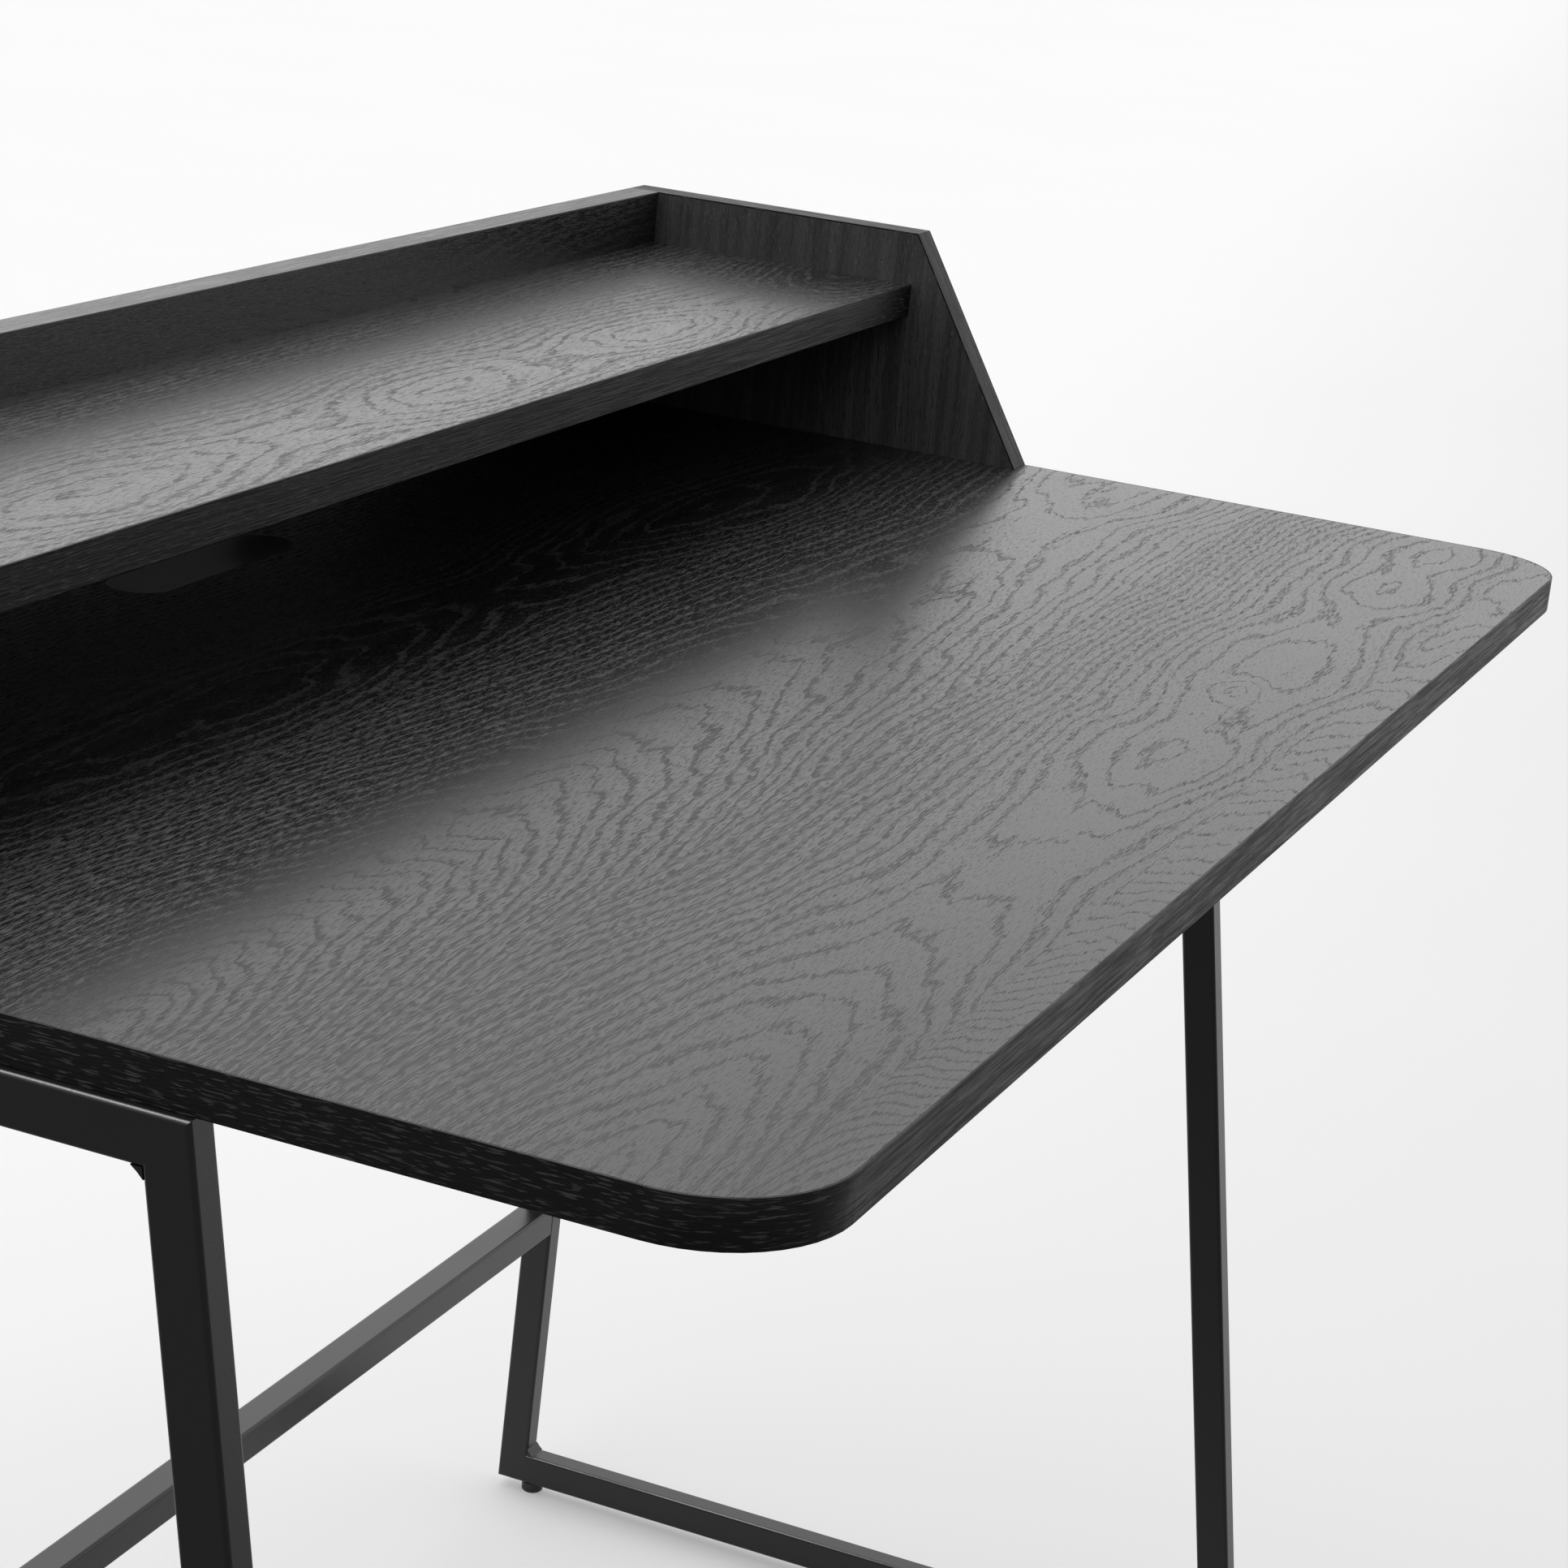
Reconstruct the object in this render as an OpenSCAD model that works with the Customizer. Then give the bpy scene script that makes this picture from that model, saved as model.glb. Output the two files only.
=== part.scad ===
// Writing desk: a board top with a low hutch, standing on two closed steel tube loops.
// Frame: origin on the floor under the middle of the bounding box, +Z up, front edge at -Y.

/* [Desktop] */
// Width of the desktop
desktop_w = 1080; // [900:10:1400]
// Depth of the desktop
desktop_d = 585; // [560:5:700]
// Height of the desktop's top face above the floor
desktop_h = 750; // [700:5:780]
// Thickness of every board
board_t = 18; // [18:1:22]
// Radius of the two rounded front corners
corner_r = 50; // [20:5:80]
// Thickness of the veneer edge band glued round a board
band_t = 1; // [0.6:0.2:2]

/* [Cable slot] */
// Length of the slot, rounded ends included
slot_w = 140; // [80:5:200]
// Width of the slot
slot_d = 32; // [25:1:45]
// Gap between the slot and the back panel
slot_gap = 4; // [3:1:20]

/* [Hutch] */
// Height of the hutch above the desktop
hutch_h = 127; // [115:1:160]
// Depth of a side panel along its top edge
side_top_d = 186; // [176:2:220]
// Depth of a side panel where it stands on the desktop
side_foot_d = 261; // [240:1:320]
// Height of the shelf's top face above the desktop
shelf_h = 97; // [80:1:105]
// Depth of the shelf in front of the back panel
shelf_d = 167; // [150:1:168]

/* [Frame] */
// Tube size across the loop, along X
tube_w = 15; // [15:1:20]
// Tube size in the plane of the loop
tube_h = 20; // [18:1:25]
// Wall thickness of the tube
tube_wall = 1.2; // [1:0.1:2]
// Outer corner radius of the tube
tube_r = 2; // [1.5:0.1:2.5]
// How far a loop stands proud of the desktop's side
rail_proud = 4; // [0:1:8]
// Setback of the loop's front corner under the desktop, from the front edge
top_setback = 207; // [150:1:260]
// Setback of the loop's front corner at the floor, from the front edge
foot_setback = 93; // [60:1:150]
// How far the loop's rear top corner stands behind the desktop
rear_proud = 6; // [0:1:10]
// How far the loop's rear bottom corner stands behind the desktop
rear_splay = 24; // [11:1:40]
// Leg length of the weld fillet in each inner corner
weld_leg = 4.5; // [3:0.5:8]
// Reach of a mounting lug from the top rail under the desktop
lug_reach = 30; // [24:1:40]
// Length of a mounting lug along the rail
lug_len = 40; // [30:5:60]
// Thickness of a mounting lug
lug_t = 4; // [3:0.5:5]

/* [Stretcher] */
// Height of the stretcher's top face above the floor
stretcher_h = 209; // [150:1:350]
// Depth of the stretcher's square tube, front to back
stretcher_w = 20; // [15:1:20]
// Spacing of the two bolts in each end of the stretcher
stretcher_bolt_gap = 10; // [9:1:11]

/* [Feet] */
// Height of the levelling foot's pad
pad_h = 7; // [6:1:12]
// Diameter of the pad
pad_dia = 14; // [10:1:15]
// Distance of a foot from the outer corner of its loop
foot_inset = 23; // [20:1:60]
// Length of the threaded stem above the pad
stem_len = 16; // [12:1:17]

/* [Hardware] */
// Diameter of the lug bolts and of the feet's stems
m6_dia = 6; // [6:1:6]
// Diameter of the stretcher bolts
m5_dia = 5; // [5:1:5]
// Diameter of a wood dowel
dowel_dia = 8; // [6:1:8]
// Length of a wood dowel
dowel_len = 30; // [25:1:35]
// Diameter of a cam housing
cam_dia = 15; // [12:1:15]
// Distance of a cam housing's axis from the end of its board
cam_reach = 34; // [24:1:34]

/* [Hidden] */

$fn = 48;
cut = 0.5;          // how far a cutter runs past a face
fit = 0.05;         // radial clearance of a screw, dowel or stem in its hole
bolt_play = 0.3;    // radial clearance of a bolt in a tube wall
board_black = "#242423";
band_black = "#1b1b1b";
tube_black = "#1e1e20";
steel = "#8f8f92";
zinc = "#b5b3a8";
beech = "#c9a878";
plastic = "#121212";

// Planes of the desk
front_y = -(desktop_d + rear_splay) / 2;
back_y = front_y + desktop_d;
under_z = desktop_h - board_t;
inner_w = desktop_w - 2 * board_t;
panel_face_y = back_y - board_t;
shelf_front_y = panel_face_y - shelf_d;
shelf_z = desktop_h + shelf_h - board_t;
slot_y = panel_face_y - slot_gap - slot_d / 2;

// The loop's outer corners in the YZ plane: top front, top back, bottom back, bottom front
loop = [
    [front_y + top_setback, under_z],
    [back_y + rear_proud, under_z],
    [back_y + rear_splay, pad_h],
    [front_y + foot_setback, pad_h]
];
loop_x = -desktop_w / 2 - rail_proud;
tube_mid_x = loop_x + tube_w / 2;

// Fixings
bolt_head_r = 6;
bolt_head_h = 2;
socket_r = 2;
insert_r = 5;
insert_len = 13;
bolt_len = lug_t + 11;
lug_x = loop_x + tube_w + lug_reach * 0.55;
lug_y = [for (k = [0.15, 0.5, 0.85]) loop[0][0] + k * (loop[1][0] - loop[0][0])];
plug_len = 24;
stretcher_z = stretcher_h - tube_h / 2;
back_leg_lean = (rear_splay - rear_proud) / (under_z - pad_h);
leg_rear_y = back_y + rear_proud + (under_z - stretcher_z) * back_leg_lean;
leg_slant = sqrt(1 + back_leg_lean * back_leg_lean);
stretcher_y = leg_rear_y - tube_h * leg_slant + stretcher_w / 2;
stretcher_bolt_len = tube_w + 16;
small_head_r = 4.2;
screw_r = 2.5;
screw_head_r = 5;
screw_len = 50;
screw_x = [for (k = [-0.4, -0.15, 0.15, 0.4]) k * inner_w];
panel_mid_y = back_y - board_t / 2;
dowel_bite = 10;
side_dowel_y = [back_y - 40, back_y - side_foot_d + 45];
back_dowel_x = [-0.28 * inner_w, 0.28 * inner_w];
shelf_dowel_x = [-0.35 * inner_w, 0, 0.35 * inner_w];
shelf_mid_z = shelf_z + board_t / 2;
shelf_end_y = shelf_front_y + shelf_d / 2;
back_end_z = desktop_h + hutch_h * 0.3;
cam_h = 12.5;
cam_bolt_bite = 11;
shelf_cam_y = [shelf_front_y + 35, panel_face_y - 35];
back_cam_z = desktop_h + hutch_h * 0.62;
foot_insert_r = 4.5;
foot_insert_len = 12;
flange_r = 6;
flange_t = 0.8;
foot_y = [loop[3][0] + foot_inset, loop[2][0] - foot_inset];

// ---- Shapes used more than once ----

function unit(v) = v / norm(v);
function inner_corner(i) =
    let (p = loop[i], u = unit(loop[(i + 1) % 4] - p), v = unit(loop[(i + 3) % 4] - p))
    p + (u + v) * tube_h / abs(cross(u, v));

// The point reached by going from a to b and a fifth of the way further
function past(a, b) = b + (b - a) / 5;

module rounded_rect(w, h, r) {
    square([w - 2 * r, h], center = true);
    square([w, h - 2 * r], center = true);
    for (sx = [-1, 1], sy = [-1, 1])
        translate([sx * (w / 2 - r), sy * (h / 2 - r)]) circle(r);
}

module tube_section(w, h) {
    difference() {
        rounded_rect(w, h, tube_r);
        rounded_rect(w - 2 * tube_wall, h - 2 * tube_wall, tube_r - tube_wall);
    }
}

// Plan of the desktop, square at the back and rounded at the front, less a margin all round
module desktop_plan(margin) {
    w = desktop_w - 2 * margin;
    r = corner_r - margin;
    y0 = front_y + margin;
    y1 = back_y - margin;
    translate([-w / 2, y0 + r]) square([w, y1 - y0 - r]);
    translate([-w / 2 + r, y0]) square([w - 2 * r, y1 - y0]);
    for (s = [-1, 1]) translate([s * (w / 2 - r), y0 + r]) circle(r, $fn = 96);
}

// Side panel outline as [y, z] points, less a margin along its top, front and back edges
function panel_outline(margin) =
    let (z0 = desktop_h, z1 = desktop_h + hutch_h - margin,
         run = (side_foot_d - side_top_d) / hutch_h,
         shift = margin * sqrt(1 + run * run),
         y0 = back_y - side_foot_d + shift,
         y1 = y0 + run * (hutch_h - margin))
    [[y0, z0], [y1, z1], [back_y - margin, z1], [back_y - margin, z0]];

// Turns a [y, z] outline into a solid along X, from x = 0 to x = width
module along_x(width) {
    rotate([90, 0, 90]) linear_extrude(width) children();
}

module rod_x(r, len) { rotate([0, 90, 0]) cylinder(r = r, h = len); }
module rod_y(r, len) { rotate([-90, 0, 0]) cylinder(r = r, h = len); }

// One tube of the left loop, from corner i to the next, with both ends mitred
module mitred_tube(i) {
    p = loop[i];
    n = loop[(i + 1) % 4];
    run = n - p;
    intersection() {
        translate([tube_mid_x, p[0], p[1]])
            rotate([atan2(run[1], run[0]), 0, 0])
                translate([0, -tube_h, -tube_h / 2])
                    rotate([-90, 0, 0])
                        linear_extrude(norm(run) + 2 * tube_h) tube_section(tube_w, tube_h);
        translate([loop_x - cut, 0, 0]) along_x(tube_w + 2 * cut) polygon([
            past(inner_corner(i), p), past(inner_corner((i + 1) % 4), n),
            past(n, inner_corner((i + 1) % 4)), past(p, inner_corner(i))
        ]);
    }
}

// Weld fillet in inner corner i of the left loop
module weld_fillet(i) {
    q = inner_corner(i);
    u = unit(inner_corner((i + 1) % 4) - q) * weld_leg;
    v = unit(inner_corner((i + 3) % 4) - q) * weld_leg;
    translate([loop_x + tube_r / 4, 0, 0])
        along_x(tube_w - tube_r / 2) polygon([q, q + u, q + (u + v) * 0.46, q + v]);
}

// Flat-headed bolt along +Z, with its head's underside at z = 0 and a hexagon socket
module flat_bolt(r, head_r, len) {
    difference() {
        union() {
            translate([0, 0, -bolt_head_h]) cylinder(r = head_r, h = bolt_head_h);
            cylinder(r = r, h = len);
        }
        translate([0, 0, -bolt_head_h - cut]) cylinder(r = socket_r, h = bolt_head_h + cut, $fn = 6);
    }
}

// Places its children at the two ends of the stretcher's bolts on the left side
module at_stretcher_bolts() {
    for (s = [-1, 1])
        translate([loop_x, stretcher_y, stretcher_z + s * stretcher_bolt_gap / 2]) children();
}

// Places its children under the hole of every lug on the left side
module at_lug_holes() {
    for (y = lug_y) translate([lug_x, y, under_z - lug_t]) children();
}

module both_sides() {
    children();
    mirror([1, 0, 0]) children();
}

module left_loop_color() { color(tube_black) children(); }

// ---- Holes ----

module insert_holes() {
    both_sides() for (y = lug_y)
        translate([lug_x, y, under_z - cut]) cylinder(r = insert_r + fit, h = insert_len + cut);
}

module screw_shapes(extra) {
    for (x = screw_x) translate([x, panel_mid_y, under_z]) {
        cylinder(r = screw_r + extra, h = screw_len + extra);
        translate([0, 0, extra > 0 ? -cut : 0])
            cylinder(r = screw_head_r + extra, h = 3.5 + (extra > 0 ? cut : 0));
    }
}

module dowel(extra) { cylinder(r = dowel_dia / 2 + extra, h = dowel_len + 2 * extra); }

// Every dowel: hutch to desktop, shelf to back panel, and shelf and back panel to the sides
module dowel_shapes(extra) {
    both_sides() {
        for (y = side_dowel_y)
            translate([-desktop_w / 2 + board_t / 2, y, desktop_h - dowel_bite - extra])
                dowel(extra);
        translate([-inner_w / 2 - dowel_bite - extra, shelf_end_y, shelf_mid_z])
            rotate([0, 90, 0]) dowel(extra);
        translate([-inner_w / 2 - dowel_bite - extra, panel_mid_y, back_end_z])
            rotate([0, 90, 0]) dowel(extra);
    }
    for (x = back_dowel_x)
        translate([x, panel_mid_y, desktop_h - dowel_bite - extra]) dowel(extra);
    for (x = shelf_dowel_x)
        translate([x, panel_face_y + dowel_bite + extra, shelf_mid_z])
            rotate([90, 0, 0]) dowel(extra);
}

// Places its children at the mouth of every cam bolt on the left, along +X
module at_left_cams() {
    for (y = shelf_cam_y) translate([-inner_w / 2, y, shelf_mid_z]) children();
    translate([-inner_w / 2, panel_mid_y, back_cam_z]) rotate([90, 0, 0]) children();
}

module cam_bolt_shape(extra) {
    translate([-cam_bolt_bite - extra, 0, 0]) rod_x(2.5 + extra, cam_bolt_bite + extra);
    rod_x(3 + extra, cam_reach);
    translate([cam_reach - 3, 0, 0]) rod_x(3.5, 3);
}

// The housing opens on the board's -Z face in the frame of at_left_cams
module cam_pocket() {
    translate([cam_reach, 0, -board_t / 2 - cut]) cylinder(r = cam_dia / 2 + fit, h = cam_h + cut);
    rod_x(4, cam_reach);
}

module cam_housing_shape() {
    translate([cam_reach, 0, -board_t / 2]) difference() {
        cylinder(r = cam_dia / 2, h = cam_h);
        translate([-cam_dia / 2 - cut, 0, board_t / 2]) rod_x(4, cam_dia / 2 + cut);
        for (a = [0, 90]) rotate(a)
            translate([-4, -0.7, -cut]) cube([8, 1.4, 2 + cut]);
    }
}

// ---- Boards ----

module desktop() {
    color(board_black) difference() {
        translate([0, 0, under_z]) linear_extrude(board_t) desktop_plan(band_t);
        translate([0, slot_y, under_z - cut]) linear_extrude(board_t + 2 * cut)
            rounded_rect(slot_w, slot_d, slot_d / 2 - 0.01);
        insert_holes();
        screw_shapes(fit);
        dowel_shapes(fit);
    }
}

module desktop_edge_band() {
    color(band_black) translate([0, 0, under_z]) linear_extrude(board_t) difference() {
        desktop_plan(0);
        desktop_plan(band_t);
    }
}

module left_side_panel() {
    color(board_black) difference() {
        translate([-desktop_w / 2, 0, 0]) along_x(board_t) polygon(panel_outline(band_t));
        dowel_shapes(fit);
        at_left_cams() cam_bolt_shape(fit);
    }
}

module left_panel_edge_band() {
    color(band_black) translate([-desktop_w / 2, 0, 0]) along_x(board_t) difference() {
        polygon(panel_outline(0));
        polygon(panel_outline(band_t));
    }
}

module right_side_panel() { mirror([1, 0, 0]) left_side_panel(); }
module right_panel_edge_band() { mirror([1, 0, 0]) left_panel_edge_band(); }

module back_panel() {
    color(board_black) difference() {
        translate([-inner_w / 2, panel_face_y, desktop_h])
            cube([inner_w, board_t, hutch_h - band_t]);
        screw_shapes(fit);
        dowel_shapes(fit);
        both_sides() at_left_cams() cam_pocket();
    }
}

module back_panel_edge_band() {
    color(band_black) translate([-inner_w / 2, panel_face_y, desktop_h + hutch_h - band_t])
        cube([inner_w, board_t, band_t]);
}

module shelf() {
    color(board_black) difference() {
        translate([-inner_w / 2, shelf_front_y + band_t, shelf_z])
            cube([inner_w, shelf_d - band_t, board_t]);
        dowel_shapes(fit);
        both_sides() at_left_cams() cam_pocket();
    }
}

module shelf_edge_band() {
    color(band_black) translate([-inner_w / 2, shelf_front_y, shelf_z])
        cube([inner_w, band_t, board_t]);
}

// ---- Steel frame ----

module left_top_rail() { left_loop_color() mitred_tube(0); }

module left_back_leg() {
    left_loop_color() difference() {
        mitred_tube(1);
        at_stretcher_bolts() translate([-cut, 0, 0]) rod_x(m5_dia / 2 + bolt_play, tube_w + 2 * cut);
    }
}

module left_bottom_rail() {
    left_loop_color() difference() {
        mitred_tube(2);
        for (y = foot_y) translate([tube_mid_x, y, pad_h - cut])
            cylinder(r = foot_insert_r + fit, h = tube_wall + 2 * cut);
        for (y = foot_y) translate([tube_mid_x, y, pad_h - cut])
            cylinder(r = flange_r + fit, h = flange_t + cut);
    }
}

module left_front_leg() { left_loop_color() mitred_tube(3); }
module left_corner_welds() { left_loop_color() for (i = [0:3]) weld_fillet(i); }

module left_mounting_lugs() {
    left_loop_color() difference() {
        for (y = lug_y) translate([loop_x + tube_w, y - lug_len / 2, under_z - lug_t])
            cube([lug_reach, lug_len, lug_t]);
        at_lug_holes() translate([0, 0, -cut])
            cylinder(r = m6_dia / 2 + bolt_play, h = lug_t + 2 * cut);
    }
}

module right_top_rail() { mirror([1, 0, 0]) left_top_rail(); }
module right_back_leg() { mirror([1, 0, 0]) left_back_leg(); }
module right_bottom_rail() { mirror([1, 0, 0]) left_bottom_rail(); }
module right_front_leg() { mirror([1, 0, 0]) left_front_leg(); }
module right_corner_welds() { mirror([1, 0, 0]) left_corner_welds(); }
module right_mounting_lugs() { mirror([1, 0, 0]) left_mounting_lugs(); }

module stretcher() {
    half = -loop_x - tube_w;
    color(tube_black) translate([-half, stretcher_y, stretcher_z])
        rotate([90, 0, 90]) linear_extrude(2 * half) tube_section(stretcher_w, tube_h);
}

module stretcher_end_plugs() {
    color(steel) both_sides() difference() {
        translate([loop_x + tube_w, stretcher_y, stretcher_z]) rotate([90, 0, 90])
            linear_extrude(plug_len) rounded_rect(
                stretcher_w - 2 * tube_wall, tube_h - 2 * tube_wall, tube_r - tube_wall);
        at_stretcher_bolts() rod_x(m5_dia / 2 + fit, stretcher_bolt_len + 2);
    }
}

module stretcher_bolts() {
    color(steel) both_sides() at_stretcher_bolts()
        rotate([0, 90, 0]) flat_bolt(m5_dia / 2, small_head_r, stretcher_bolt_len);
}

module lug_bolts() {
    color(steel) both_sides() at_lug_holes() flat_bolt(m6_dia / 2, bolt_head_r, bolt_len);
}

module desktop_inserts() {
    color(zinc) both_sides() for (y = lug_y) translate([lug_x, y, under_z]) difference() {
        cylinder(r = insert_r, h = insert_len);
        translate([0, 0, -cut]) cylinder(r = m6_dia / 2 + fit, h = insert_len + 2 * cut);
    }
}

// ---- Hutch fixings ----

module hutch_screws() {
    color(steel) difference() {
        screw_shapes(0);
        for (x = screw_x) translate([x, panel_mid_y, under_z - cut])
            cylinder(r = socket_r, h = 2.5 + cut, $fn = 6);
    }
}

module wood_dowels() { color(beech) dowel_shapes(0); }
module cam_bolts() { color(steel) both_sides() at_left_cams() cam_bolt_shape(0); }
module cam_housings() { color(zinc) both_sides() at_left_cams() cam_housing_shape(); }

// ---- Levelling feet ----

module foot_inserts() {
    color(steel) both_sides() for (y = foot_y) translate([tube_mid_x, y, pad_h]) difference() {
        union() {
            cylinder(r = foot_insert_r, h = foot_insert_len);
            cylinder(r = flange_r, h = flange_t);
        }
        translate([0, 0, -cut]) cylinder(r = m6_dia / 2 + fit, h = foot_insert_len + 2 * cut);
    }
}

// A foot's pad and stem, at the front (k = 0) or back (k = 1) of the left loop
module left_pad(k) {
    lip = 1;
    color(plastic) translate([tube_mid_x, foot_y[k], 0]) difference() {
        union() {
            translate([0, 0, lip]) cylinder(r = pad_dia / 2, h = pad_h - lip);
            cylinder(r1 = pad_dia / 2 - lip, r2 = pad_dia / 2, h = lip, $fn = 48);
        }
        translate([0, 0, pad_h / 2]) cylinder(r = m6_dia / 2, h = pad_h);
    }
}

module left_stem(k) {
    color(steel) translate([tube_mid_x, foot_y[k], pad_h / 2])
        cylinder(r = m6_dia / 2, h = pad_h / 2 + stem_len);
}

module front_left_pad() { left_pad(0); }
module front_left_stem() { left_stem(0); }
module back_left_pad() { left_pad(1); }
module back_left_stem() { left_stem(1); }
module front_right_pad() { mirror([1, 0, 0]) left_pad(0); }
module front_right_stem() { mirror([1, 0, 0]) left_stem(0); }
module back_right_pad() { mirror([1, 0, 0]) left_pad(1); }
module back_right_stem() { mirror([1, 0, 0]) left_stem(1); }

desktop();
desktop_edge_band();
left_side_panel();
right_side_panel();
left_panel_edge_band();
right_panel_edge_band();
back_panel();
back_panel_edge_band();
shelf();
shelf_edge_band();
left_top_rail();
left_back_leg();
left_bottom_rail();
left_front_leg();
right_top_rail();
right_back_leg();
right_bottom_rail();
right_front_leg();
left_corner_welds();
right_corner_welds();
left_mounting_lugs();
right_mounting_lugs();
stretcher();
stretcher_end_plugs();
stretcher_bolts();
lug_bolts();
desktop_inserts();
hutch_screws();
wood_dowels();
cam_bolts();
cam_housings();
foot_inserts();
front_left_pad();
front_left_stem();
front_right_pad();
front_right_stem();
back_left_pad();
back_left_stem();
back_right_pad();
back_right_stem();
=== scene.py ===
import math

import bpy
from mathutils import Matrix, Vector

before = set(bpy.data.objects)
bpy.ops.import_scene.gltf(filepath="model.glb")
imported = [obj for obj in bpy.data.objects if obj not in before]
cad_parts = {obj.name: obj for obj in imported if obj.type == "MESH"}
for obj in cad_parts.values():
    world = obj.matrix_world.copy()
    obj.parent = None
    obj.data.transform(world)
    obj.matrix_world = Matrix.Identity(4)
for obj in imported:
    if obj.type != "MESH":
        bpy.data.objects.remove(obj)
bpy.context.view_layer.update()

# ---- Camera ----

CAMERA_AT = Vector((-1.4805, -0.6693, 1.1977))
CAMERA_AZIMUTH = 67.89       # degrees from +Y towards +X
CAMERA_PITCH = -17.15        # degrees above the horizon
CAMERA_ROLL = 5.68
CAMERA_LENS = 84.77          # millimetres
SENSOR_WIDTH = 36.0          # millimetres


def add_camera():
    data = bpy.data.cameras.new("camera")
    data.lens = CAMERA_LENS
    data.sensor_width = SENSOR_WIDTH
    camera = bpy.data.objects.new("camera", data)
    turn = Matrix.Rotation(math.radians(-CAMERA_AZIMUTH), 4, "Z")
    pitch = Matrix.Rotation(math.radians(90 + CAMERA_PITCH), 4, "X")
    roll = Matrix.Rotation(math.radians(CAMERA_ROLL), 4, "Z")
    camera.matrix_world = Matrix.Translation(CAMERA_AT) @ turn @ pitch @ roll
    bpy.context.scene.collection.objects.link(camera)
    bpy.context.scene.camera = camera


# ---- A short way to write node graphs ----

class Graph:
    """Adds nodes to a material or world. An input may be a socket, a number or a tuple."""

    def __init__(self, tree):
        self.tree = tree
        tree.nodes.clear()

    def feed(self, socket, value):
        if isinstance(value, bpy.types.NodeSocket):
            self.tree.links.new(value, socket)
        else:
            socket.default_value = value

    def add(self, kind, inputs=None, **settings):
        node = self.tree.nodes.new(kind)
        for key, value in settings.items():
            setattr(node, key, value)
        for key, value in (inputs or {}).items():
            self.feed(node.inputs[key], value)
        return node

    def math(self, op, a, b=0.0):
        node = self.add("ShaderNodeMath", {0: a, 1: b}, operation=op)
        return node.outputs[0]

    def plus(self, a, b):
        return self.math("ADD", a, b)

    def minus(self, a, b):
        return self.math("SUBTRACT", a, b)

    def times(self, a, b):
        return self.math("MULTIPLY", a, b)

    def vector(self, x, y, z):
        return self.add("ShaderNodeCombineXYZ", {"X": x, "Y": y, "Z": z}).outputs[0]

    def noise(self, vector, scale=1.0, detail=2.0, roughness=0.5):
        node = self.add("ShaderNodeTexNoise", {
            "Vector": vector, "Scale": scale, "Detail": detail, "Roughness": roughness})
        return node.outputs["Fac"]

    def stretched(self, axes, scales, seed=0.0, detail=2.0, roughness=0.5):
        """Noise with its own scale along each of three coordinates."""
        scaled = [self.times(axis, scale) for axis, scale in zip(axes, scales)]
        scaled[0] = self.plus(scaled[0], seed)
        return self.noise(self.vector(*scaled), 1.0, detail, roughness)

    def wobble(self, axes, scales, reach, seed=0.0, detail=1.0):
        """The same noise, centred on zero and reaching about that far each way."""
        centred = self.minus(self.stretched(axes, scales, seed, detail), 0.5)
        return self.times(centred, reach * 3.0)

    def ramp(self, value, low, high, out_low=0.0, out_high=1.0):
        node = self.add("ShaderNodeMapRange", {
            "Value": value, "From Min": low, "From Max": high,
            "To Min": out_low, "To Max": out_high}, interpolation_type="SMOOTHSTEP")
        return node.outputs[0]

    def curve(self, value, stations):
        """A smooth curve through (input, output) pairs, both in metres and within 1 m of zero."""
        node = self.add("ShaderNodeFloatCurve", {"Value": self.times(self.plus(value, 1.0), 0.5)})
        line = node.mapping.curves[0]
        points = [((x + 1.0) / 2.0, y) for x, y in stations]
        line.points[0].location = (0.0, points[0][1])
        line.points[-1].location = (1.0, points[-1][1])
        for x, y in points:
            line.points.new(x, y)
        node.mapping.update()
        return node.outputs[0]

    def mix(self, fac, a, b):
        node = self.add("ShaderNodeMix", {0: fac, 2: a, 3: b}, data_type="FLOAT")
        return node.outputs[0]

    def blend(self, fac, a, b):
        node = self.add("ShaderNodeMix", {0: fac, 6: a, 7: b}, data_type="RGBA")
        return node.outputs[2]

    def bump(self, height, distance, strength=1.0):
        node = self.add("ShaderNodeBump", {
            "Height": height, "Distance": distance, "Strength": strength})
        return node.outputs[0]

    def place(self):
        """The point in the object's own axes, whole and split."""
        whole = self.add("ShaderNodeTexCoord").outputs["Object"]
        split = self.add("ShaderNodeSeparateXYZ", {"Vector": whole})
        return whole, {axis: split.outputs[axis] for axis in "XYZ"}

    def shader(self, **inputs):
        named = {key.replace("_", " "): value for key, value in inputs.items()}
        principled = self.add("ShaderNodeBsdfPrincipled", named)
        self.add("ShaderNodeOutputMaterial", {"Surface": principled.outputs[0]})


def material(name):
    made = bpy.data.materials.new(name)
    made.use_nodes = True
    return made, Graph(made.node_tree)


def grey(level):
    return (level, level, level, 1.0)


# ---- Black oak ----

# Noise scales of the grain, in waves per metre: along it, across it, and through the board.
PORE_SCALE = (125.0, 2100.0, 2100.0)
FLECK_SCALE = (150.0, 2400.0, 2400.0)
FIBRE_SCALE = (30.0, 2600.0, 2600.0)
STREAK_SCALE = (5.0, 160.0, 160.0)
RING_WOBBLE_SCALE = (38.0, 260.0, 1.0)

EARLY_WOOD_WIDTH = (0.20, 0.50)     # share of a ring, where it is cut flat and where it is cut steep
PORE_LEVEL_EARLY = 0.50             # the dash noise opens a pore above this in the early wood
PORE_LEVEL_LATE = (0.70, 0.57)      # and above this in the late wood, cut flat and cut steep
PORE_ROUGHNESS = 0.60
PORE_DEPTH = 0.00012                # metres
BOARD_CORE = 0.004                  # grey of a board's sides, holes and slot, off its veneered faces

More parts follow.
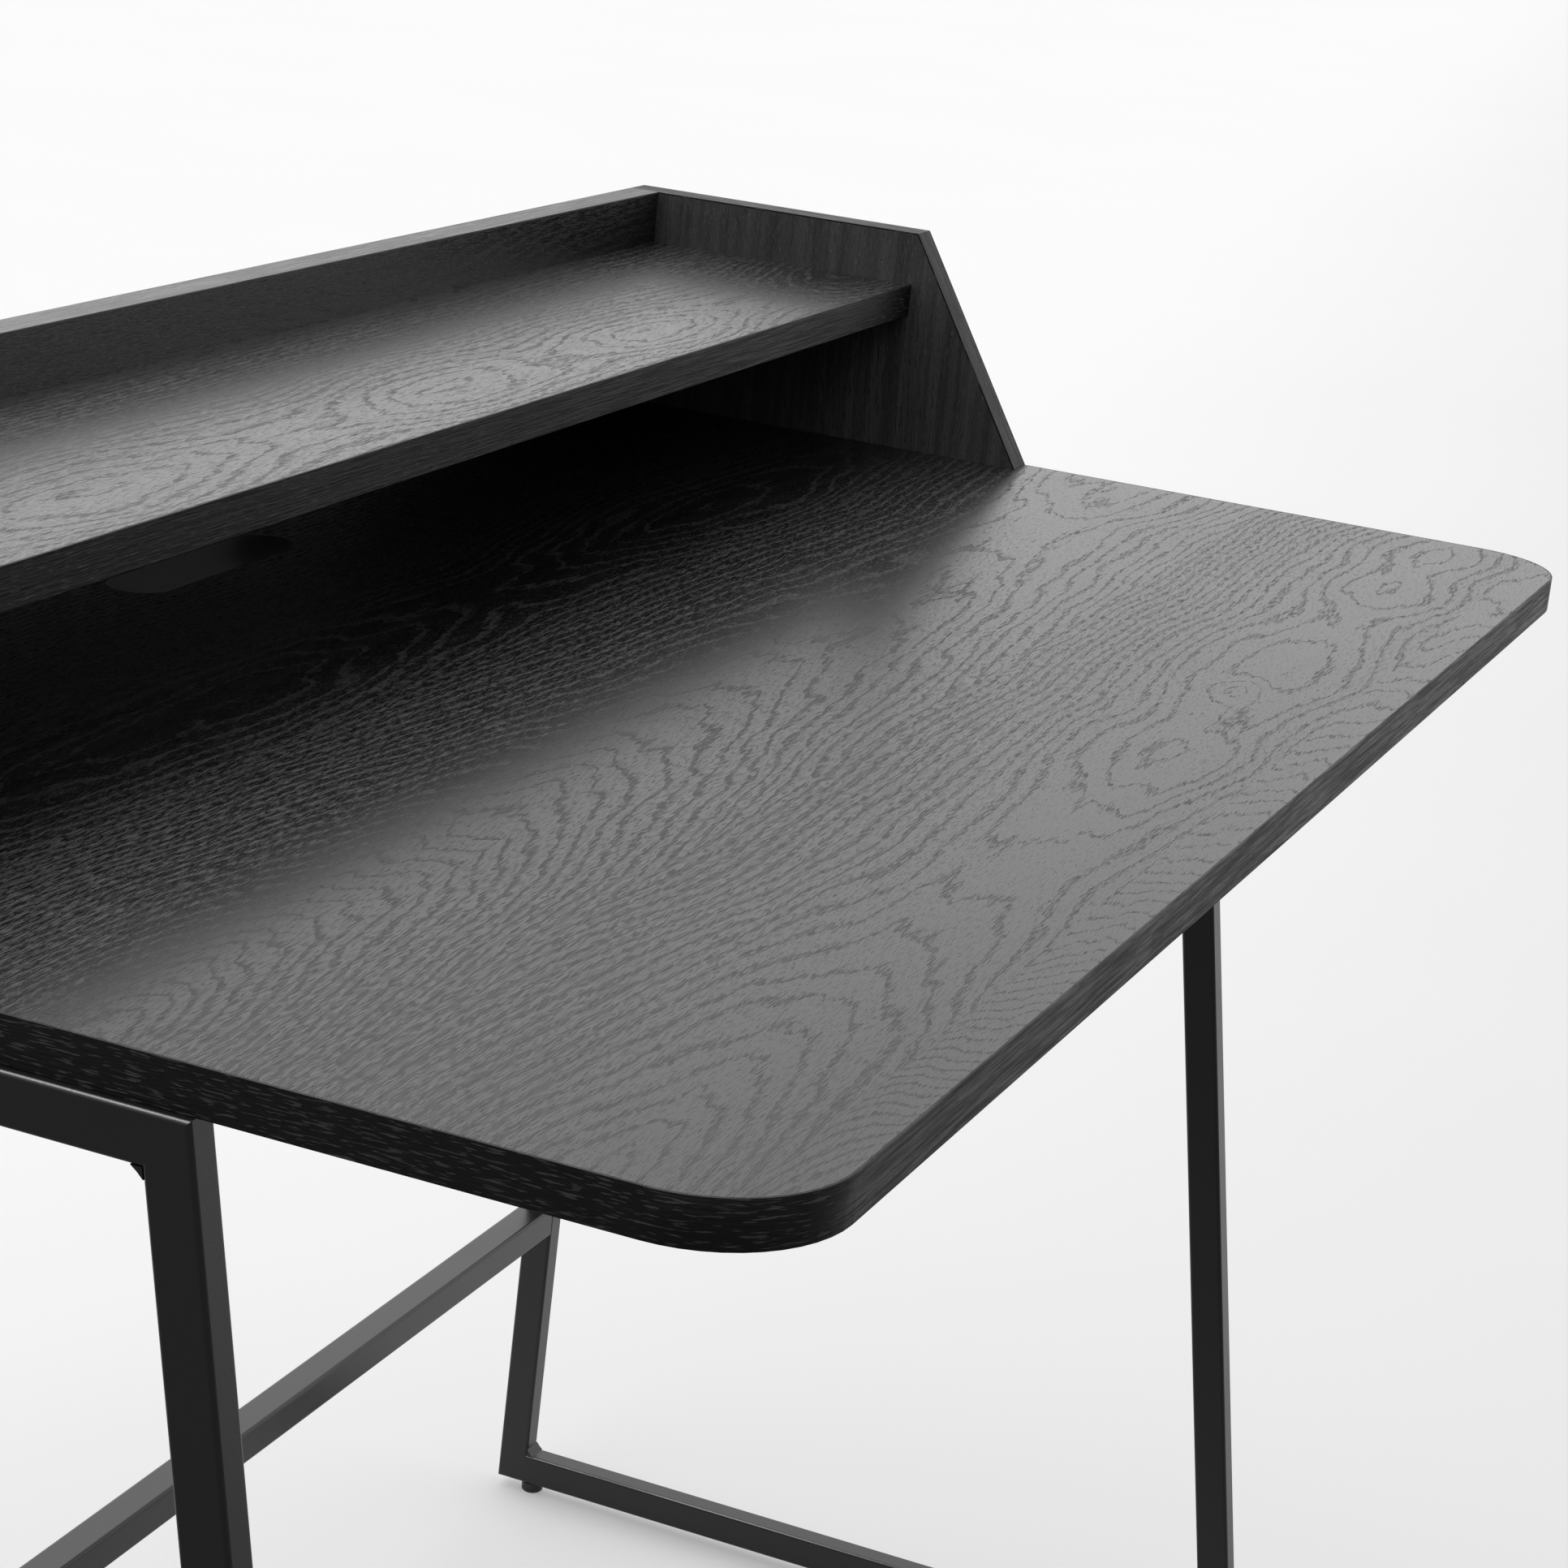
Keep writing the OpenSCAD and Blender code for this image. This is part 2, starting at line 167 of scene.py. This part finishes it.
# The same for the edge band, in waves per metre.
BAND_DASH_ALONG, BAND_DASH_ACROSS = 115.0, 1300.0
BAND_LINE_ALONG, BAND_LINE_ACROSS = 28.0, 1100.0

# A flat-cut leaf of veneer shows the log's rings as nested arches. Each figure is one leaf: where it
# ends, its centre line and that line's slope, the rings' thickness, how far the cut lies from the
# log's pith along its length, and its knots. The rings close into ovals where that depth has a low.
DESKTOP_FIGURES = [
    dict(ends=-0.283, centre=-0.318, slope=0.0, ring=0.0036, depth=[
        (-0.54, 0.020), (-0.30, 0.090), (0.0, 0.150), (0.54, 0.200)]),
    dict(ends=-0.130, centre=-0.238, slope=0.0, ring=0.0050, depth=[
        (-0.54, 0.026), (-0.45, 0.038), (-0.30, 0.058), (-0.20, 0.066), (-0.10, 0.062),
        (0.02, 0.050), (0.08, 0.054), (0.20, 0.047), (0.31, 0.054), (0.40, 0.046),
        (0.45, 0.050), (0.50, 0.045), (0.54, 0.048)],
        knots=[(0.146, -0.232, 0.024, 0.011)]),
    dict(ends=0.062, centre=-0.047, slope=0.014, ring=0.0040, depth=[
        (-0.54, 0.010), (-0.46, 0.024), (-0.34, 0.048), (-0.20, 0.070), (-0.05, 0.086),
        (0.15, 0.100), (0.28, 0.106), (0.395, 0.110), (0.54, 0.102)]),
    dict(ends=1.0, centre=0.110, slope=0.0, ring=0.0042, depth=[
        (-0.54, 0.060), (-0.20, 0.040), (0.05, 0.055), (0.30, 0.036), (0.54, 0.050)]),
]
SHELF_FIGURES = [
    dict(ends=0.205, centre=0.137, slope=0.0, ring=0.0044, depth=[
        (-0.54, 0.034), (-0.38, 0.046), (-0.26, 0.036), (-0.10, 0.050), (0.04, 0.036),
        (0.16, 0.043), (0.26, 0.034), (0.40, 0.048), (0.52, 0.030)]),
    dict(ends=1.0, centre=0.330, slope=0.0, ring=0.0040, depth=[
        (-0.54, 0.040), (0.54, 0.090)]),
]
BACK_FIGURES = [
    dict(ends=1.0, centre=0.815, slope=0.01, ring=0.0042, depth=[
        (-0.54, 0.020), (-0.30, 0.052), (-0.05, 0.034), (0.18, 0.055), (0.54, 0.026)]),
]
SIDE_FIGURES = [
    dict(ends=1.0, centre=-0.060, slope=0.06, ring=0.0034, depth=[(0.74, 0.030), (0.88, 0.034)]),
]


def ring_phase(g, u, w, figure, seed):
    """How many years from the log's pith a point of the leaf grew, and how steep the cut is there."""
    centre = g.plus(g.times(u, figure["slope"]), figure["centre"])
    centre = g.plus(centre, g.wobble((u, w, 0.0), (6.0, 8.0, 1.0), 0.006, seed))
    side = g.minus(w, centre)
    depth = g.curve(u, figure["depth"])
    depth = g.plus(depth, g.wobble((u, w, 0.0), (10.0, 48.0, 1.0), 0.0034, seed + 3.0))
    radius = g.math("SQRT", g.plus(g.times(side, side), g.times(depth, depth)))
    for at_u, at_w, size, rise in figure.get("knots", []):
        along = g.times(g.minus(u, at_u), 1.0 / size)
        across = g.times(g.minus(w, at_w), 2.0 / size)
        square = g.plus(g.times(along, along), g.times(across, across))
        radius = g.plus(radius, g.times(g.math("POWER", math.e, g.times(square, -1.0)), rise))
    flank = g.math("DIVIDE", g.math("ABSOLUTE", side), radius)
    return g.times(radius, 1.0 / figure["ring"]), flank


def leaf_rings(g, u, w, figures, seed):
    """The rings of all the leaves, side by side on one face."""
    phase, flank = ring_phase(g, u, w, figures[0], seed)
    for before, figure in zip(figures, figures[1:]):
        past = g.math("GREATER_THAN", w, before["ends"])
        next_phase, next_flank = ring_phase(g, u, w, figure, seed + 11.0)
        phase = g.mix(past, phase, next_phase)
        flank = g.mix(past, flank, next_flank)
    return phase, flank


def early_wood(g, grain, phase, flank, seed):
    """One in the porous early part of each ring, and zero in the dense late part."""
    phase = g.plus(phase, g.wobble(grain, RING_WOBBLE_SCALE, 0.30, seed + 5.0, detail=4.0))
    ring = g.math("FRACT", phase)
    past_width = g.minus(ring, g.mix(flank, *EARLY_WOOD_WIDTH))
    return g.times(g.ramp(ring, 0.0, 0.06), g.ramp(past_width, -0.12, 0.10, 1.0, 0.0))


def open_pores(g, grain, early, flank, seed):
    """Dashes crowded in the early wood, with a fainter fleck all over."""
    dash = g.stretched(grain, PORE_SCALE, seed, detail=2.0, roughness=0.6)
    level = g.mix(early, g.mix(flank, *PORE_LEVEL_LATE), PORE_LEVEL_EARLY)
    pore = g.ramp(g.minus(dash, level), -0.03, 0.045)
    fleck = g.ramp(g.stretched(grain, FLECK_SCALE, seed + 2.0), 0.58, 0.68)
    return g.math("MAXIMUM", pore, g.times(fleck, 0.45))


def on_the_face(g, deep):
    """One on the board's two faces, and zero on its sides and in its holes."""
    normal = g.add("ShaderNodeTexCoord").outputs["Normal"]
    split = g.add("ShaderNodeSeparateXYZ", {"Vector": normal})
    return g.ramp(g.math("ABSOLUTE", split.outputs[deep]), 0.4, 0.6)


def oak(name, along, across, deep, figures, tone, rough=0.215, seed=0.0):
    """Open-pore oak veneer, stained black and lacquered satin. The grain runs along one axis."""
    made, g = material(name)
    whole, axis = g.place()
    grain = (axis[along], axis[across], axis[deep])
    phase, flank = leaf_rings(g, axis[along], axis[across], figures, seed)
    early = early_wood(g, grain, phase, flank, seed)
    pore = open_pores(g, grain, early, flank, seed)
    fibre = g.stretched(grain, FIBRE_SCALE, seed + 4.0, detail=1.0)
    streak = g.ramp(g.stretched(grain, STREAK_SCALE, seed + 6.0, detail=3.0), 0.3, 0.7)
    cloud = g.noise(whole, 7.0, 3.0)
    stain = g.blend(streak, grey(tone * 0.6), grey(tone * 1.4))
    wood = g.blend(pore, stain, grey(tone * 0.2))
    satin = g.plus(g.mix(pore, rough, PORE_ROUGHNESS), g.times(g.minus(cloud, 0.5), 0.08))
    face = on_the_face(g, deep)
    g.shader(
        Base_Color=g.blend(face, grey(BOARD_CORE), wood),
        Roughness=g.mix(face, 0.85, satin),
        Normal=g.bump(g.minus(g.times(fibre, 0.10), pore), PORE_DEPTH, 0.7),
    )
    return made


def oak_band(name, fine, gloss, seed=0.0):
    """The boards' edge band: oak strip with straight grain, finest across the board's thickness."""
    made, g = material(name)
    whole, axis = g.place()
    axes = [axis[letter] for letter in "XYZ"]
    dashes = [BAND_DASH_ACROSS if letter == fine else BAND_DASH_ALONG for letter in "XYZ"]
    lines = [BAND_LINE_ACROSS if letter == fine else BAND_LINE_ALONG for letter in "XYZ"]
    fleck = g.ramp(g.stretched(axes, dashes, seed, detail=2.0), 0.57, 0.64)
    streak = g.ramp(g.stretched(axes, lines, seed + 3.0, detail=3.0, roughness=0.6), 0.30, 0.70)
    wood = g.blend(streak, grey(0.0020), grey(0.0050))
    g.shader(
        Base_Color=g.blend(fleck, wood, grey(0.040)),
        Roughness=g.plus(g.times(fleck, 0.22), g.mix(streak, 0.62, 0.36)),
        Specular_IOR_Level=gloss,
        Normal=g.bump(g.minus(streak, fleck), 0.00014, 0.8),
    )
    return made


# ---- Steel, zinc, beech and plastic ----

def powder_coat(name, tone=0.006, rough=0.30):
    """Fine satin powder coat, with a slight orange peel."""
    made, g = material(name)
    whole, _ = g.place()
    peel = g.noise(whole, 1100.0, 2.0)
    grain = g.noise(whole, 4200.0, 1.0)
    cloud = g.noise(whole, 14.0, 3.0)
    g.shader(
        Base_Color=g.blend(cloud, grey(tone * 0.7), grey(tone * 1.3)),
        Roughness=g.plus(rough - 0.06, g.times(cloud, 0.12)),
        Normal=g.bump(g.plus(peel, g.times(grain, 0.4)), 0.00012, 0.35),
    )
    return made


def bare_metal(name, colour, rough):
    """Zinc plating or die-cast zinc, with fine drawn lines and a cloudy sheen."""
    made, g = material(name)
    whole, axis = g.place()
    cloud = g.noise(whole, 160.0, 3.0)
    lines = g.stretched((axis["X"], axis["Y"], axis["Z"]), (900.0, 900.0, 6000.0))
    dark = tuple(channel * 0.72 for channel in colour)
    g.shader(
        Base_Color=g.blend(cloud, (*dark, 1.0), (*colour, 1.0)),
        Roughness=g.plus(rough - 0.08, g.times(cloud, 0.16)),
        Metallic=1.0,
        Normal=g.bump(lines, 0.00004, 0.4),
    )
    return made


def beech_wood(name):
    made, g = material(name)
    _, axis = g.place()
    axes = (axis["Z"], axis["X"], axis["Y"])
    grain = g.stretched(axes, (90.0, 1400.0, 1400.0), detail=3.0)
    fleck = g.ramp(g.stretched(axes, (400.0, 3000.0, 3000.0), 5.0), 0.60, 0.68)
    wood = g.blend(grain, (0.42, 0.25, 0.12, 1.0), (0.62, 0.42, 0.24, 1.0))
    g.shader(
        Base_Color=g.blend(fleck, wood, (0.30, 0.16, 0.08, 1.0)),
        Roughness=g.mix(grain, 0.55, 0.75),
        Normal=g.bump(grain, 0.0001, 0.4),
    )
    return made


def nylon(name):
    made, g = material(name)
    whole, _ = g.place()
    spark = g.noise(whole, 2600.0, 2.0)
    cloud = g.noise(whole, 60.0, 2.0)
    g.shader(
        Base_Color=g.blend(cloud, grey(0.008), grey(0.016)),
        Roughness=g.mix(spark, 0.45, 0.65),
        Normal=g.bump(spark, 0.00008, 0.5),
    )
    return made


# ---- Finish of each CAD node ----

def finish_all():
    # Painted light: the side panels share the desktop's black stain, but their tone is set about ten
    # times lighter to stand in for the light their inner faces catch.
    side = oak("oak_side_panel", "Z", "Y", "X", SIDE_FIGURES, tone=0.060, seed=9.0)
    band_z = oak_band("oak_band_boards", "Z", 0.20, 1.0)
    band_y = oak_band("oak_band_back_panel", "Y", 0.95, 3.0)
    band_x = oak_band("oak_band_side_panels", "X", 0.22, 5.0)
    coat = powder_coat("powder_coat")
    oxide = powder_coat("black_oxide", 0.014, 0.32)
    plated = bare_metal("zinc_plated_steel", (0.58, 0.58, 0.60), 0.30)
    cast = bare_metal("die_cast_zinc", (0.52, 0.51, 0.48), 0.48)
    beech = beech_wood("beech")
    looks = {
        "desktop": oak("oak_desktop", "X", "Y", "Z", DESKTOP_FIGURES, tone=0.0055),
        # Painted light: the shelf's tone is set lighter than the desktop's same black stain to stand
        # in for the light on its right end.
        "shelf": oak("oak_shelf", "X", "Y", "Z", SHELF_FIGURES, tone=0.010, rough=0.235, seed=3.0),
        "back_panel": oak("oak_back_panel", "X", "Z", "Y", BACK_FIGURES, tone=0.006, seed=5.0),
        "left_side_panel": side, "right_side_panel": side,
        "desktop_edge_band": band_z, "shelf_edge_band": band_z,
        "back_panel_edge_band": band_y,
        "left_panel_edge_band": band_x, "right_panel_edge_band": band_x,
        "stretcher_bolts": oxide, "lug_bolts": oxide,
        "stretcher_end_plugs": plated, "hutch_screws": plated, "cam_bolts": plated,
        "foot_inserts": plated, "desktop_inserts": cast, "cam_housings": cast,
        "wood_dowels": beech,
    }
    pad = nylon("nylon")
    for name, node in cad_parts.items():
        if name.endswith("_pad"):
            look = pad
        elif name.endswith("_stem"):
            look = plated
        else:
            look = looks.get(name, coat)
        node.data.materials.clear()
        node.data.materials.append(look)


EDGE_ROUND = 0.0002          # metres


def soften_edges():
    """A small round on every hard edge of the boards and their bands, inside their CAD shape."""
    for name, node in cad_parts.items():
        if name in ("desktop", "shelf") or "panel" in name or name.endswith("band"):
            weld = node.modifiers.new("weld", "WELD")
            weld.merge_threshold = 0.00001
            bevel = node.modifiers.new("bevel", "BEVEL")
            bevel.width = EDGE_ROUND
            bevel.segments = 2
            bevel.limit_method = "ANGLE"
            bevel.angle_limit = math.radians(40)
            bevel.harden_normals = True


# ---- Studio ----

FLOOR_SIZE = 120.0           # metres
PAPER_TONE = 0.635
PAPER_GLOW = 0.245           # the paper's own light, which keeps the shadows faint
PAPER_DIM = 0.865            # painted shade: the paper's level on its dimmer side
UNLIT_FLOOR = 0.26           # and on the studio's unlit side, which only the object sees
UNLIT_WALL = 0.19
WALL_LIGHT = 1.22
CEILING_LIGHT = 1.1
WALL_BOOST = 1.28            # how much brighter the wall is straight behind the desk
SEEN_WALL = (0.855, 0.95)    # the wall seen directly, in the tones of the floor's far edge
SOFTBOX_SIZE = (2.2, 1.8)    # metres
SOFTBOX_AT = (-0.35, 1.0, 2.7)
SOFTBOX_POWER = 110.0        # watts


def to_the_bright_side(g, x, y):
    """Distance towards the side where the paper looks brightest."""
    return g.minus(y, g.times(x, 0.15))


def add_floor():
    """A pale paper floor, paler far off because of painted shade towards the camera's side. A little
    of its light is its own, so shadows stay faint.

    Only the object sees it darken towards the camera's side, where the studio is unlit.
    """
    bpy.ops.mesh.primitive_plane_add(size=FLOOR_SIZE)
    floor = bpy.context.object
    floor.name = "floor"
    made, g = material("floor_paper")
    whole, axis = g.place()
    tone = g.noise(whole, 1.5, 2.0)
    # Painted shade: the paper's colour and glow darken towards the camera's side, standing in for the
    # studio's light falling off there.
    painted_falloff = g.ramp(to_the_bright_side(g, axis["X"], axis["Y"]), -0.9, 1.0, PAPER_DIM, 1.0)
    seen = g.add("ShaderNodeLightPath").outputs["Is Camera Ray"]
    studio_side = g.plus(g.times(axis["X"], 0.8), g.times(axis["Y"], 0.6))
    lit = g.ramp(studio_side, -0.5, 0.9, UNLIT_FLOOR, 1.0)
    level = g.times(painted_falloff, g.math("MAXIMUM", seen, lit))
    paper = g.times(level, g.plus(PAPER_TONE, g.times(tone, 0.02)))
    g.shader(
        Base_Color=g.vector(paper, paper, paper),
        Roughness=0.9,
        Specular_IOR_Level=0.1,
        Emission_Color=g.vector(level, level, level),
        Emission_Strength=PAPER_GLOW,
    )
    floor.data.materials.append(made)


def add_world():
    """A white wall behind the desk and a white ceiling, dark only low down on the camera's side.

    Seen directly it has the tone of the floor's far edge, so no horizon shows.
    """
    world = bpy.data.worlds.new("studio")
    bpy.context.scene.world = world
    world.use_nodes = True
    g = Graph(world.node_tree)
    toward = g.add("ShaderNodeSeparateXYZ", {
        "Vector": g.add("ShaderNodeTexCoord").outputs["Generated"]}).outputs
    bright = to_the_bright_side(g, toward["X"], toward["Y"])
    heading = g.plus(g.times(toward["X"], 0.93), g.times(toward["Y"], 0.37))
    wall = g.ramp(heading, -0.7, 0.6, UNLIT_WALL, WALL_LIGHT)
    wall = g.times(wall, g.ramp(bright, 0.1, 0.5, 1.0, WALL_BOOST))
    ceiling = g.ramp(toward["Z"], 0.15, 0.60, 0.0, CEILING_LIGHT)
    light = g.math("MAXIMUM", wall, ceiling)
    paper = g.ramp(bright, -0.1, 0.1, *SEEN_WALL)
    seen = g.add("ShaderNodeLightPath").outputs["Is Camera Ray"]
    back = g.add("ShaderNodeBackground", {
        "Color": (1.0, 1.0, 1.0, 1.0), "Strength": g.mix(seen, light, paper)})
    g.add("ShaderNodeOutputWorld", {"Surface": back.outputs[0]})


def add_softbox():
    """A softbox overhead that shows only as a highlight on rounded edges."""
    data = bpy.data.lights.new("softbox", "AREA")
    data.shape = "RECTANGLE"
    data.size, data.size_y = SOFTBOX_SIZE
    data.energy = SOFTBOX_POWER
    box = bpy.data.objects.new("softbox", data)
    box.location = SOFTBOX_AT
    box.visible_diffuse = False
    bpy.context.scene.collection.objects.link(box)


def main():
    bpy.context.scene.view_settings.view_transform = "Standard"
    add_camera()
    add_world()
    add_floor()
    add_softbox()
    finish_all()
    soften_edges()


main()
